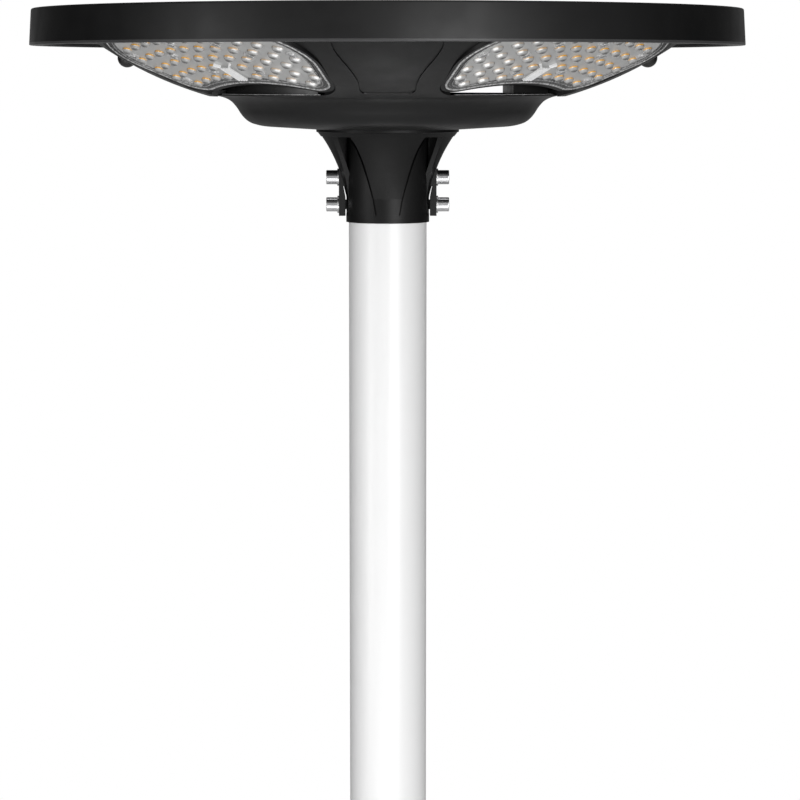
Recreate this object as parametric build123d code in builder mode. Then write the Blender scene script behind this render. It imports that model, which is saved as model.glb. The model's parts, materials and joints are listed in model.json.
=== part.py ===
from build123d import *

import os
from math import atan, cos, hypot, radians, sin

# Solar street lamp: a round all-in-one solar head clamped on top of a steel pole.
# Millimetres, +Z up, the origin at the centre of the base plate's underside.

# ---------------------------------------------------------------- driving dimensions
# Pole and base
POLE_R = 76.1 / 2
POLE_WALL = 3.2
POLE_TOP_IN_COLLAR = 82.0
COLLAR_Z = 2300.0
BASE_SIZE = 260.0
BASE_T = 14.0
BASE_BOLT_SPACING = 190.0
BASE_BOLT_R = 9.0
GUSSET_REACH = 62.0
GUSSET_H = 110.0
GUSSET_T = 8.0

# Heights below are above the collar's bottom edge
PLAY = 0.3                       # play left between pieces that move past each other
COLLAR_BORE_R = 38.35
COLLAR_SLEEVE_R = 39.7
COLLAR_RING = (40.6, 8.0)
WEB_T = 4.0
FLARE_FOOT = (40.4, 23.6)
LOBE_R = 41.9
LOBE_EDGE_Y = 18.2
FLARE_MID = (49.9, 57.0)
FLARE_TOP = (67.6, 88.0)
FLARE_T = 3.4
FLANGE_R = 69.6
FLANGE_H = (87.0, 90.0)
COLLAR_WEB_H = 82.4
WING_EDGE = [(8.6, -4.0), (13.4, 23.1), (19.5, 46.2), (28.1, 70.5), (40.0, 88.0)]
WING_GAP = [(9.8, -4.0), (14.6, 23.1), (17.0, 32.0), (21.1, 46.2), (25.3, 58.6), (30.0, 70.5), (35.2, 79.0)]
LEDGE_H = 83.2
COLLAR_SCREW_XY = 42.0
COLLAR_SCREW_HEAD = 4.0
CLAMP_H = (43.3, 16.8)
CLAMP_SHANK_R = 4.0
CLAMP_HEAD_R = 6.9
CLAMP_HEAD_L = 10.8
CLAMP_SEAT_R = 47.6
WASHER_R = 8.4
WASHER_T = 1.6
TONGUE_OUTLINE = [(41.4, 6.0), (47.6, 6.0), (47.6, 37.0), (46.6, 42.0), (45.7, 42.0), (43.0, 32.0),
                  (41.4, 23.6)]
TONGUE_W = 19.0
LOWER_BOSS = 4.6

# Battery bowl
BOWL_FLAT_R = 72.0
BOWL_FLOOR = 90.0
BOWL_FLOOR_T = 3.5
BOWL_EDGE = (123.0, 93.2)
LIP_R = 172.0
LIP_H = 124.2
BOWL_SCREW_R = 157.0
BOWL_SCREW_Y = 24.0
BOWL_SCREW_HEAD = 1.8
BOWL_SCREW_BITE = 2.2

# Canopy: a dish whose section is an arc
DISH_CENTRE = (67.0, 491.0)
DISH_R = 384.0
DISH_T = 3.5
ARM_END_R = 173.2
ARM_TAB_R = 150.0
ARM_TAB_T = 4.0
SHELF_H = 173.5
SHELF_T = 3.0
WINDOW_HALF_DEG = 25.0
PANEL_DEPTH = 1.1
PANEL_EDGE = [(183, 19.0), (184.2, 22.2), (188, 24.2), (203, 25.8), (243, 37.4), (266, 47.8),
              (275, 49.0), (282, 43.5)]

# Rim and solar panel
RIM_R_LOW = 345.0
RIM_R_TOP = 342.8
RIM_T = 3.6
RIM_H = (170.5, 205.2)
RIM_LIP_R = 332.0
GLASS_R = 333.0
GLASS_H = (198.6, 201.8)
BEZEL_R = (325.0, 338.6)
CELL = (78.0, 39.0)
CELL_GAP = 2.0
CELL_LIMIT_R = 319.0
RIM_SCREW_R = 336.5
BEZEL_SCREW_R = 336.0
SMALL_HEAD = 1.4

# LED modules: a flat kidney plate, its outer side tilted up
LED_R = (181.0, 291.0)
LED_HALF_DEG = 28.8
LED_CORNER_R = (28.0, 44.0)
LED_SLOPE = 0.465
LED_REF = (213.0, 151.0)        # a point of the lens face: distance from the axis, height
LENS_T = 2.0
BOARD_LAYER = (3.0, 4.6)
TRAY_LAYER = (-1.0, 7.0)
TRAY_WALL = 3.4
LENS_PLAY = 0.4
OPENING_GROW = 4.6
RISER_T = 2.6
DOME_R = 7.0
DOME_DEPTH = 2.9
LED_RINGS = [(194.5, 5.70, (1, 4)), (212.5, 5.15, (1, 5)), (230.0, 5.13, (0, 5)),
             (247.5, 4.87, (0, 5)), (265.0, 4.45, (0, 5)), (281.0, 4.20, (0, 4))]
LENS_SCREWS = [(203.4, 8.6), (203.4, 24.6), (238.8, 12.4), (256.2, 6.6), (256.2, 24.3)]
CHIP = (3.2, 3.2, 0.7)
FIN_TOP = 192.0

# Sensors and power button
SENSOR_R = 253.0
SENSOR_DOME_R = 9.3
SENSOR_H = 158.9
BUTTON_Y = 105.0
BUTTON_R = 6.0
BUTTON_TRAVEL = 2.0

# Electronics
CASE_FLAT_X = 58.0
CASE_R = (143.0, 165.0)
CASE_H = (114.0, 128.8, 188.0)
CASE_WALL = 2.5
SKIRT_H = 124.6
SKIRT_ARM_HALF = 64.0
CELL_BODY_R = 16.2
CELL_BODY_L = 70.6
CELL_PITCH = 34.0
CONTROLLER_X = 117.0
CONTROLLER_WALL = 2.2
CONTROLLER_BASE = (20.0, 72.0)

TILT = atan(LED_SLOPE)
LED_ANGLES = (46.5, 133.5, 226.5, 313.5)

# ---------------------------------------------------------------- shared planes and helpers
head = Plane.XY.offset(COLLAR_Z)
section = Plane(origin=(0, 0, COLLAR_Z), x_dir=(1, 0, 0), z_dir=(0, -1, 0))
side_section = Plane(origin=(0, 0, COLLAR_Z), x_dir=(0, 1, 0), z_dir=(1, 0, 0))
led_plane = Plane(origin=(LED_REF[0], 0, COLLAR_Z + LED_REF[1]),
                  x_dir=(cos(TILT), 0, sin(TILT)), z_dir=(-sin(TILT), 0, cos(TILT)))
led_prism_base = head.offset(110)
LED_PRISM_H = 110.0


def dish_height(r, drop=0.0):
    """Height of the canopy's outer face at a distance from the axis, or of a face inside it."""
    return DISH_CENTRE[1] - ((DISH_R - drop) ** 2 - (r - DISH_CENTRE[0]) ** 2) ** 0.5


def dish_reach(h, drop=0.0):
    """Distance from the axis at which the dish reaches a height."""
    return DISH_CENTRE[0] + ((DISH_R - drop) ** 2 - (DISH_CENTRE[1] - h) ** 2) ** 0.5


def led_outline(grow=0.0):
    """Kidney outline of an LED module, centred on +X, grown by an amount."""
    with BuildSketch() as outline:
        with BuildLine():
            inner = CenterArc((0, 0), LED_R[0], -LED_HALF_DEG, 2 * LED_HALF_DEG)
            outer = CenterArc((0, 0), LED_R[1], -LED_HALF_DEG, 2 * LED_HALF_DEG)
            Line(inner @ 0, outer @ 0)
            Line(inner @ 1, outer @ 1)
        make_face()
        corners = outline.vertices().group_by(Axis.X)
        fillet(corners[0], LED_CORNER_R[0])
        fillet(outline.vertices().group_by(Axis.X)[-1], LED_CORNER_R[1])
        if grow:
            offset(amount=grow)
    return outline.sketch


def led_layer(grow, low, high):
    """A layer of an LED module between two heights above its lens face."""
    with BuildPart() as layer:
        with BuildSketch(led_prism_base):
            add(led_outline(grow))
        extrude(amount=LED_PRISM_H)
        split(bisect_by=led_plane.offset(low), keep=Keep.TOP)
        split(bisect_by=led_plane.offset(high), keep=Keep.BOTTOM)
    return layer.part


def led_point(r, angle, above):
    """A point of the LED module from its distance and angle in plan, above the lens face."""
    u = r * cos(radians(angle))
    v = r * sin(radians(angle))
    return led_plane.from_local_coords(Vector((u - LED_REF[0]) / cos(TILT), v, above))


def led_places(points, above):
    """Locations square to the board, one for each (distance, angle)."""
    return [Location(Plane(origin=led_point(r, angle, above), z_dir=led_plane.z_dir))
            for r, angle in points]


def ring_points():
    """Where each light source stands: rings about the lamp's axis."""
    points = []
    for r, step, (first, last) in LED_RINGS:
        for k in range(first, last + 1):
            points += [(r, k * step), (r, -k * step)] if k else [(r, 0.0)]
    return points


led_points = ring_points()
screw_points = [(r, sign * angle) for r, angle in LENS_SCREWS for sign in (1, -1)]
os.makedirs("parts", exist_ok=True)

# ---------------------------------------------------------------- pole and base
with BuildPart() as base_plate:
    with BuildSketch():
        RectangleRounded(BASE_SIZE, BASE_SIZE, 14)
        with GridLocations(BASE_BOLT_SPACING, BASE_BOLT_SPACING, 2, 2):
            Circle(BASE_BOLT_R, mode=Mode.SUBTRACT)
        Circle(POLE_R - 8, mode=Mode.SUBTRACT)
    extrude(amount=BASE_T)
    chamfer(base_plate.faces().sort_by(Axis.Z)[-1].outer_wire().edges(), 1.5)
base_plate.part.label = "base_plate"
export_step(base_plate.part, "parts/base_plate.step")

with BuildPart() as pole_tube:
    with BuildSketch(Plane.XY.offset(BASE_T)):
        Circle(POLE_R)
        Circle(POLE_R - POLE_WALL, mode=Mode.SUBTRACT)
    extrude(amount=COLLAR_Z + POLE_TOP_IN_COLLAR - BASE_T)
pole_tube.part.label = "pole_tube"
export_step(pole_tube.part, "parts/pole_tube.step")

with BuildPart() as base_gussets:
    with BuildSketch(Plane.XZ):
        with BuildLine():
            Polyline((POLE_R, BASE_T), (POLE_R + GUSSET_REACH, BASE_T),
                     (POLE_R + GUSSET_REACH, BASE_T + 12), (POLE_R + 10, BASE_T + GUSSET_H),
                     (POLE_R, BASE_T + GUSSET_H), close=True)
        make_face()
    extrude(amount=GUSSET_T / 2, both=True)
    with BuildSketch(Plane.XY.offset(BASE_T)):
        Circle(POLE_R)
    extrude(amount=GUSSET_H, mode=Mode.SUBTRACT)
    one_gusset = base_gussets.part
    for turn in (90, 180, 270):
        add(one_gusset.rotate(Axis.Z, turn))
base_gussets.part.label = "base_gussets"
export_step(base_gussets.part, "parts/base_gussets.step")

# ---------------------------------------------------------------- collar
with BuildPart() as wing_slab:
    for plane in (section, side_section):
        with BuildSketch(plane):
            with BuildLine():
                right = Spline(WING_EDGE)
                left = Spline([(-x, h) for x, h in WING_EDGE])
                Line(right @ 0, left @ 0)
                Line(right @ 1, left @ 1)
            make_face()
        extrude(amount=FLANGE_R + 5, both=True)

with BuildPart() as flare:
    with BuildSketch(section):
        with BuildLine():
            face = ThreePointArc(FLARE_FOOT, FLARE_MID, FLARE_TOP)
            Polyline(face @ 1, (FLARE_TOP[0] - FLARE_T - 1.2, FLARE_TOP[1]))
            back = ThreePointArc((FLARE_TOP[0] - FLARE_T - 1.2, FLARE_TOP[1]),
                                 (FLARE_MID[0] - FLARE_T, FLARE_MID[1] + 1),
                                 (COLLAR_SLEEVE_R - 0.6, 40.0))
            Polyline(back @ 1, (COLLAR_SLEEVE_R - 0.6, 6.0), (FLARE_FOOT[0], 6.0), face @ 0)
        make_face()
    revolve(axis=Axis.Z)
    add(wing_slab.part, mode=Mode.INTERSECT)

# Front and back the sleeve is thicker, except behind each wing and in a narrow gap along its edges
with BuildPart() as lobes:
    with BuildSketch(head.offset(COLLAR_RING[1] - 0.1)):
        Circle(LOBE_R)
        Circle(COLLAR_SLEEVE_R - 0.5, mode=Mode.SUBTRACT)
        Rectangle(2 * FLANGE_R, 2 * LOBE_EDGE_Y, mode=Mode.SUBTRACT)
    extrude(amount=LEDGE_H + 1.2 - COLLAR_RING[1])
    with BuildSketch(section):
        with BuildLine():
            Polyline(*[(-x, h) for x, h in reversed(WING_GAP)], *WING_GAP, close=True)
        make_face()
    extrude(amount=FLANGE_R, both=True, mode=Mode.SUBTRACT)

with BuildPart() as collar:
    with BuildSketch(section):
        with BuildLine():
            Polyline((0, COLLAR_WEB_H), (COLLAR_BORE_R, COLLAR_WEB_H), (COLLAR_BORE_R, 0),
                     (COLLAR_RING[0], 0), COLLAR_RING, (COLLAR_SLEEVE_R, COLLAR_RING[1]),
                     (COLLAR_SLEEVE_R, LEDGE_H), (FLARE_TOP[0] - 2.5, LEDGE_H),
                     (FLARE_TOP[0] + 0.5, FLANGE_H[0]), (FLANGE_R, FLANGE_H[0] + 0.6),
                     (FLANGE_R, FLANGE_H[1]), (0, FLANGE_H[1]), close=True)
        make_face()
    revolve(axis=Axis.Z)
    add(flare.part)
    add(lobes.part)
    for plane in (section, side_section):
        with BuildSketch(plane):
            with BuildLine():
                Polyline((COLLAR_SLEEVE_R - 0.6, LEDGE_H + 1), (FLARE_TOP[0] - 6, LEDGE_H + 1),
                         (FLARE_MID[0] - 1, FLARE_MID[1]), (COLLAR_SLEEVE_R - 0.6, 20.0), close=True)
            make_face()
            mirror(about=Plane.YZ)
        extrude(amount=WEB_T / 2, both=True)
    with BuildSketch(section):
        with BuildLine():
            Polyline(*TONGUE_OUTLINE, close=True)
        make_face()
        mirror(about=Plane.YZ)
    extrude(amount=TONGUE_W / 2, both=True)
    with BuildSketch(head.offset(CLAMP_H[0])):
        Rectangle(2 * CLAMP_SEAT_R, TONGUE_W)
        Circle(COLLAR_BORE_R + 1, mode=Mode.SUBTRACT)
    extrude(amount=8.5, both=True)
    with BuildSketch(head.offset(CLAMP_H[1] - LOWER_BOSS)):
        Rectangle(2 * TONGUE_OUTLINE[0][0] + 2, 2 * LOWER_BOSS)
        Circle(COLLAR_BORE_R + 1, mode=Mode.SUBTRACT)
    extrude(amount=2 * LOWER_BOSS)
    for h in CLAMP_H:
        with BuildSketch(side_section):
            with Locations((0, h)):
                Circle(CLAMP_SHANK_R + PLAY)
        extrude(amount=2 * CLAMP_SEAT_R, both=True, mode=Mode.SUBTRACT)
    for side in (1, -1):
        with BuildSketch(Plane.YZ.offset(side * CLAMP_SEAT_R)):
            with Locations(*[(0, COLLAR_Z + h) for h in CLAMP_H]):
                Circle(WASHER_R + PLAY)
        extrude(amount=side * 12, mode=Mode.SUBTRACT)
    with BuildSketch(head.offset(LEDGE_H)):
        with GridLocations(2 * COLLAR_SCREW_XY, 2 * COLLAR_SCREW_XY, 2, 2):
            Circle(3.2)
    extrude(amount=10, mode=Mode.SUBTRACT)
    with BuildSketch(head.offset(LEDGE_H)):
        with GridLocations(2 * COLLAR_SCREW_XY, 2 * COLLAR_SCREW_XY, 2, 2):
            Circle(5.2)
    extrude(amount=COLLAR_SCREW_HEAD, mode=Mode.SUBTRACT)
collar.part.label = "collar"
export_step(collar.part, "parts/collar.step")

with BuildPart() as collar_screws:
    with GridLocations(2 * COLLAR_SCREW_XY, 2 * COLLAR_SCREW_XY, 2, 2):
        with Locations((0, 0, COLLAR_Z + LEDGE_H)):
            Cylinder(5.0, COLLAR_SCREW_HEAD, align=(Align.CENTER, Align.CENTER, Align.MIN))
            Cylinder(3.0, 24.8, align=(Align.CENTER, Align.CENTER, Align.MIN))
collar_screws.part.label = "collar_screws"
export_step(collar_screws.part, "parts/collar_screws.step")

# Clamp screws lie along X, two on each side, and bite on the pole
screw_tip_r = POLE_R + PLAY + 0.1
screw_head_r = CLAMP_SEAT_R + WASHER_T
with BuildPart() as clamp_screw:
    with BuildSketch(Plane.YZ.offset(screw_tip_r)):
        Circle(CLAMP_SHANK_R)
    extrude(amount=screw_head_r - screw_tip_r)
    chamfer(clamp_screw.faces().sort_by(Axis.X)[0].edges(), 0.8)
    with BuildSketch(Plane.YZ.offset(screw_head_r)):
        Circle(CLAMP_HEAD_R)
    extrude(amount=CLAMP_HEAD_L)
    fillet(clamp_screw.faces().sort_by(Axis.X)[-1].edges(), 0.7)
    with BuildSketch(Plane.YZ.offset(screw_head_r + CLAMP_HEAD_L)):
        RegularPolygon(3.46, 6)
    extrude(amount=-5.0, mode=Mode.SUBTRACT)

clamp_places = [(turn, h) for turn in (0, 180) for h in CLAMP_H]
for number, (turn, h) in enumerate(clamp_places, 1):
    placed = clamp_screw.part.rotate(Axis.Z, turn).translate((0, 0, COLLAR_Z + h))
    placed.label = f"clamp_screw_{number}"
    export_step(placed, f"parts/clamp_screw_{number}.step")

with BuildPart() as clamp_washers:
    for side in (1, -1):
        with BuildSketch(Plane.YZ.offset(side * CLAMP_SEAT_R)):
            for h in CLAMP_H:
                with Locations((0, COLLAR_Z + h)):
                    Circle(WASHER_R)
                    Circle(CLAMP_SHANK_R + PLAY, mode=Mode.SUBTRACT)
        extrude(amount=side * (WASHER_T - 0.02))
clamp_washers.part.label = "clamp_washers"
export_step(clamp_washers.part, "parts/clamp_washers.step")

# ---------------------------------------------------------------- battery bowl and power button
with BuildPart() as battery_bowl:
    with BuildSketch(section):
        with BuildLine():
            Polyline((0, BOWL_FLOOR), (BOWL_FLAT_R, BOWL_FLOOR), BOWL_EDGE)
            ThreePointArc(BOWL_EDGE, (136.7, 98.3), (144.4, 107.2))
            ThreePointArc((144.4, 107.2), (153.4, 118.6), (LIP_R, 123.0))
            Polyline((LIP_R, 123.0), (LIP_R, LIP_H), (147.5, LIP_H))
            ThreePointArc((147.5, LIP_H), (144.2, 116.5), (140.6, 109.0))
            ThreePointArc((140.6, 109.0), (134.0, 101.2), (BOWL_EDGE[0], 96.7))
            Polyline((BOWL_EDGE[0], 96.7), (BOWL_FLAT_R, BOWL_FLOOR + BOWL_FLOOR_T),
                     (0, BOWL_FLOOR + BOWL_FLOOR_T), (0, BOWL_FLOOR))
        make_face()
    revolve(axis=Axis.Z)
    with BuildSketch(head.offset(BOWL_FLOOR - 1)):
        with GridLocations(2 * COLLAR_SCREW_XY, 2 * COLLAR_SCREW_XY, 2, 2):
            Circle(3.2)
        with Locations((0, BUTTON_Y)):
            Circle(BUTTON_R + 3.0)
    extrude(amount=10, mode=Mode.SUBTRACT)
    with BuildSketch(head.offset(LIP_H)):
        with PolarLocations(BOWL_SCREW_R, 4):
            with Locations((0, BOWL_SCREW_Y), (0, -BOWL_SCREW_Y)):
                Circle(2.0)
    extrude(amount=-BOWL_SCREW_BITE, mode=Mode.SUBTRACT)
battery_bowl.part.label = "battery_bowl"
export_step(battery_bowl.part, "parts/battery_bowl.step")

with BuildPart() as bowl_screws:
    with PolarLocations(BOWL_SCREW_R, 4):
        with Locations((0, BOWL_SCREW_Y, COLLAR_Z + LIP_H + ARM_TAB_T),
                       (0, -BOWL_SCREW_Y, COLLAR_Z + LIP_H + ARM_TAB_T)):
            Cylinder(3.6, BOWL_SCREW_HEAD, align=(Align.CENTER, Align.CENTER, Align.MAX))
            Cylinder(2.0, ARM_TAB_T + BOWL_SCREW_BITE - 0.1,
                     align=(Align.CENTER, Align.CENTER, Align.MAX))
bowl_screws.part.label = "bowl_screws"
export_step(bowl_screws.part, "parts/bowl_screws.step")

button_plane = Plane(origin=(0, BUTTON_Y, COLLAR_Z))
with BuildPart() as button_bezel:
    with BuildSketch(button_plane.offset(88.4)):
        Circle(BUTTON_R + 5.0)
        Circle(BUTTON_R + PLAY, mode=Mode.SUBTRACT)
    extrude(amount=2.9)
    with BuildSketch(button_plane.offset(91.3)):
        Circle(BUTTON_R + 2.9)
        Circle(BUTTON_R + PLAY, mode=Mode.SUBTRACT)
    extrude(amount=8.7)
    with BuildSketch(button_plane.offset(100.0)):
        Circle(BUTTON_R + 2.9)
    extrude(amount=9.0)
    fillet(button_bezel.edges().filter_by(GeomType.CIRCLE).sort_by(Axis.Z)[:1], 0.8)
button_bezel.part.label = "button_bezel"
export_step(button_bezel.part, "parts/button_bezel.step")

with BuildPart() as power_button:
    with BuildSketch(button_plane.offset(87.2)):
        Circle(BUTTON_R)
    extrude(amount=100.0 - BUTTON_TRAVEL - PLAY - 87.2)
    fillet(power_button.faces().sort_by(Axis.Z)[0].edges(), 1.0)
power_button.part.label = "power_button"
export_step(power_button.part, "parts/power_button.step")

# ---------------------------------------------------------------- canopy
below_dish = [(0, 60), (400, 60), (400, SHELF_H), (dish_reach(SHELF_H), SHELF_H)]
with BuildPart() as under_dish:
    with BuildSketch(section):
        with BuildLine():
            Polyline(*below_dish)
            ThreePointArc(below_dish[-1], (230, dish_height(230)), (ARM_END_R, dish_height(ARM_END_R)))
            Polyline((ARM_END_R, dish_height(ARM_END_R)), (ARM_END_R, LIP_H), (0, LIP_H), (0, 60))
        make_face()
    revolve(axis=Axis.Z)

with BuildPart() as riser:
    with BuildSketch(led_prism_base):
        add(led_outline(OPENING_GROW + RISER_T))
    extrude(amount=LED_PRISM_H)
    split(bisect_by=led_plane.offset(4.0), keep=Keep.BOTTOM)
    add(under_dish.part, mode=Mode.SUBTRACT)

with BuildPart() as opening:
    with BuildSketch(led_prism_base):
        add(led_outline(OPENING_GROW))
        with BuildLine():
            near = CenterArc((0, 0), ARM_TAB_R - 5, -WINDOW_HALF_DEG, 2 * WINDOW_HALF_DEG)
            far = CenterArc((0, 0), LED_R[0] + 20, -WINDOW_HALF_DEG, 2 * WINDOW_HALF_DEG)
            Line(near @ 0, far @ 0)
            Line(near @ 1, far @ 1)
        make_face()
    extrude(amount=LED_PRISM_H)

# A shallow panel pressed into each arm, open under the rim
with BuildPart() as arm_recess:
    with BuildSketch(led_prism_base):
        with BuildLine():
            right = Spline(PANEL_EDGE)
            left = Spline([(r, -y) for r, y in PANEL_EDGE])
            Line(right @ 0, left @ 0)
            Line(right @ 1, left @ 1)
        make_face()
    extrude(amount=LED_PRISM_H)
    with BuildSketch(section):
        with BuildLine():
            edge = ThreePointArc(*[(r, dish_height(r, PANEL_DEPTH)) for r in (345, 250, 165)])
            Polyline(edge @ 1, (165, 240), (345, 240), edge @ 0)
        make_face()
    revolve(axis=Axis.Z, mode=Mode.SUBTRACT)

with BuildPart() as canopy:
    with BuildSketch(section):
        with BuildLine():
            Polyline((ARM_TAB_R, LIP_H), (ARM_END_R, LIP_H), (ARM_END_R, dish_height(ARM_END_R)))
            ThreePointArc((ARM_END_R, dish_height(ARM_END_R)), (230, dish_height(230)),
                          (dish_reach(SHELF_H), SHELF_H))
            Polyline((dish_reach(SHELF_H), SHELF_H), (RIM_R_LOW - RIM_T - 1.0, SHELF_H),
                     (RIM_R_LOW - RIM_T - 1.0, SHELF_H + SHELF_T),
                     (dish_reach(SHELF_H + SHELF_T, DISH_T), SHELF_H + SHELF_T))
            ThreePointArc((dish_reach(SHELF_H + SHELF_T, DISH_T), SHELF_H + SHELF_T),
                          (230, dish_height(230, DISH_T)),
                          (dish_reach(LIP_H + ARM_TAB_T, DISH_T), LIP_H + ARM_TAB_T))
            Polyline((dish_reach(LIP_H + ARM_TAB_T, DISH_T), LIP_H + ARM_TAB_T),
                     (ARM_TAB_R, LIP_H + ARM_TAB_T), (ARM_TAB_R, LIP_H))
        make_face()
    revolve(axis=Axis.Z)
    for angle in LED_ANGLES:
        add(riser.part.rotate(Axis.Z, angle))
    for angle in LED_ANGLES:
        add(opening.part.rotate(Axis.Z, angle), mode=Mode.SUBTRACT)
    for turn in (0, 90, 180, 270):
        add(arm_recess.part.rotate(Axis.Z, turn), mode=Mode.SUBTRACT)
    with BuildSketch(led_prism_base):
        with Locations((SENSOR_R, 0), (-SENSOR_R, 0)):
            Circle(SENSOR_DOME_R + PLAY)
        with PolarLocations(BOWL_SCREW_R, 4):
            with Locations((0, BOWL_SCREW_Y), (0, -BOWL_SCREW_Y)):
                Circle(2.3)
        with PolarLocations(RIM_SCREW_R, 12, start_angle=15):
            Circle(1.7)
    extrude(amount=LED_PRISM_H, mode=Mode.SUBTRACT)
    with BuildSketch(head.offset(LIP_H + ARM_TAB_T - BOWL_SCREW_HEAD)):
        with PolarLocations(BOWL_SCREW_R, 4):
            with Locations((0, BOWL_SCREW_Y), (0, -BOWL_SCREW_Y)):
                Circle(3.6)
    extrude(amount=BOWL_SCREW_HEAD, mode=Mode.SUBTRACT)
canopy.part.label = "canopy"
export_step(canopy.part, "parts/canopy.step")

# ---------------------------------------------------------------- rim and solar panel
with BuildPart() as rim_skirt:
    with BuildSketch(section):
        with BuildLine():
            Polyline((RIM_LIP_R, RIM_H[0] + 0.6), (RIM_LIP_R, SHELF_H), (RIM_R_LOW - RIM_T, SHELF_H),
                     (RIM_R_LOW - RIM_T - 0.6, GLASS_H[0] - 4), (GLASS_R - 6, GLASS_H[0] - 2.5),
                     (GLASS_R - 6, GLASS_H[0]), (BEZEL_R[1] + 0.2, GLASS_H[0]),
                     (BEZEL_R[1] + 0.2, RIM_H[1]), (RIM_R_TOP - 2.5, RIM_H[1]))
            ThreePointArc((RIM_R_TOP - 2.5, RIM_H[1]), (RIM_R_TOP - 0.7, RIM_H[1] - 0.7),
                          (RIM_R_TOP, RIM_H[1] - 2.5))
            Line((RIM_R_TOP, RIM_H[1] - 2.5), (RIM_R_LOW, RIM_H[0] + 2.2))
            ThreePointArc((RIM_R_LOW, RIM_H[0] + 2.2), (RIM_R_LOW - 0.6, RIM_H[0] + 0.6),
                          (RIM_R_LOW - 2.2, RIM_H[0]))
            Polyline((RIM_R_LOW - 2.2, RIM_H[0]), (RIM_LIP_R + 0.6, RIM_H[0]),
                     (RIM_LIP_R, RIM_H[0] + 0.6))
        make_face()
    revolve(axis=Axis.Z)
    with BuildSketch(head.offset(RIM_H[0] - 1)):
        with PolarLocations(RIM_SCREW_R, 12, start_angle=15):
            Circle(1.7)
    extrude(amount=8, mode=Mode.SUBTRACT)
    with BuildSketch(head.offset(RIM_H[0])):
        with PolarLocations(RIM_SCREW_R, 12, start_angle=15):
            Circle(2.9)
    extrude(amount=SMALL_HEAD, mode=Mode.SUBTRACT)
    with BuildSketch(head.offset(GLASS_H[0] + 0.1)):
        with PolarLocations(BEZEL_SCREW_R, 12):
            Circle(1.5)
    extrude(amount=-3.5, mode=Mode.SUBTRACT)
rim_skirt.part.label = "rim_skirt"
export_step(rim_skirt.part, "parts/rim_skirt.step")

with BuildPart() as rim_screws:
    with PolarLocations(RIM_SCREW_R, 12, start_angle=15):
        with Locations((0, 0, COLLAR_Z + RIM_H[0])):
            Cylinder(2.9, SMALL_HEAD, align=(Align.CENTER, Align.CENTER, Align.MIN))
            Cylinder(1.7, 7.5, align=(Align.CENTER, Align.CENTER, Align.MIN))
rim_screws.part.label = "rim_screws"
export_step(rim_screws.part, "parts/rim_screws.step")

with BuildPart() as panel_glass:
    with BuildSketch(head.offset(GLASS_H[0])):
        Circle(GLASS_R)
    extrude(amount=GLASS_H[1] - GLASS_H[0])
    chamfer(panel_glass.faces().sort_by(Axis.Z)[-1].edges(), 0.5)
panel_glass.part.label = "panel_glass"
export_step(panel_glass.part, "parts/panel_glass.step")

# Cells fill the circle in rows, as many whole ones as fit
cell_places = []
pitch = (CELL[0] + CELL_GAP, CELL[1] + CELL_GAP)
rows = int(CELL_LIMIT_R // pitch[1])
for row in range(-rows, rows):
    y = (row + 0.5) * pitch[1]
    half_chord = (CELL_LIMIT_R ** 2 - (abs(y) + CELL[1] / 2) ** 2) ** 0.5
    count = int((2 * half_chord + CELL_GAP) // pitch[0])
    cell_places += [((k - (count - 1) / 2) * pitch[0], y) for k in range(count)]

with BuildPart() as solar_cells:
    with BuildSketch(head.offset(GLASS_H[0] - 0.35)):
        with Locations(*cell_places):
            RectangleRounded(CELL[0], CELL[1], 1.5)
    extrude(amount=0.35)
solar_cells.part.label = "solar_cells"
export_step(solar_cells.part, "parts/solar_cells.step")

with BuildPart() as panel_backsheet:
    with BuildSketch(head.offset(GLASS_H[0] - 1.35)):
        Circle(GLASS_R - 6.5)
    extrude(amount=1.0)
panel_backsheet.part.label = "panel_backsheet"
export_step(panel_backsheet.part, "parts/panel_backsheet.step")

with BuildPart() as panel_gasket:
    with BuildSketch(head.offset(GLASS_H[1])):
        Circle(GLASS_R)
        Circle(BEZEL_R[0] + 1, mode=Mode.SUBTRACT)
    extrude(amount=1.0)
panel_gasket.part.label = "panel_gasket"
export_step(panel_gasket.part, "parts/panel_gasket.step")

with BuildPart() as panel_bezel:
    with BuildSketch(section):
        with BuildLine():
            Polyline((BEZEL_R[0], GLASS_H[1] + 1.0), (GLASS_R + 0.3, GLASS_H[1] + 1.0),
                     (GLASS_R + 0.3, GLASS_H[0]), (BEZEL_R[1], GLASS_H[0]), (BEZEL_R[1], RIM_H[1]),
                     (BEZEL_R[0] + 2.4, RIM_H[1]), close=True)
        make_face()
    revolve(axis=Axis.Z)
    with BuildSketch(head.offset(RIM_H[1])):
        with PolarLocations(BEZEL_SCREW_R, 12):
            Circle(1.5)
    extrude(amount=-10, mode=Mode.SUBTRACT)
    with BuildSketch(head.offset(RIM_H[1])):
        with PolarLocations(BEZEL_SCREW_R, 12):
            Circle(2.3)
    extrude(amount=-SMALL_HEAD, mode=Mode.SUBTRACT)
panel_bezel.part.label = "panel_bezel"
export_step(panel_bezel.part, "parts/panel_bezel.step")

with BuildPart() as bezel_screws:
    with PolarLocations(BEZEL_SCREW_R, 12):
        with Locations((0, 0, COLLAR_Z + RIM_H[1])):
            Cylinder(2.3, SMALL_HEAD, align=(Align.CENTER, Align.CENTER, Align.MAX))
            Cylinder(1.5, 9.5, align=(Align.CENTER, Align.CENTER, Align.MAX))
bezel_screws.part.label = "bezel_screws"
export_step(bezel_screws.part, "parts/bezel_screws.step")

with BuildPart() as junction_box:
    with BuildSketch(head.offset(GLASS_H[0] - 1.35)):
        with Locations((85, 0)):
            RectangleRounded(46, 70, 4)
    extrude(amount=-8.0)
    fillet(junction_box.faces().sort_by(Axis.Z)[0].edges(), 1.5)
junction_box.part.label = "junction_box"
export_step(junction_box.part, "parts/junction_box.step")

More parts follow.
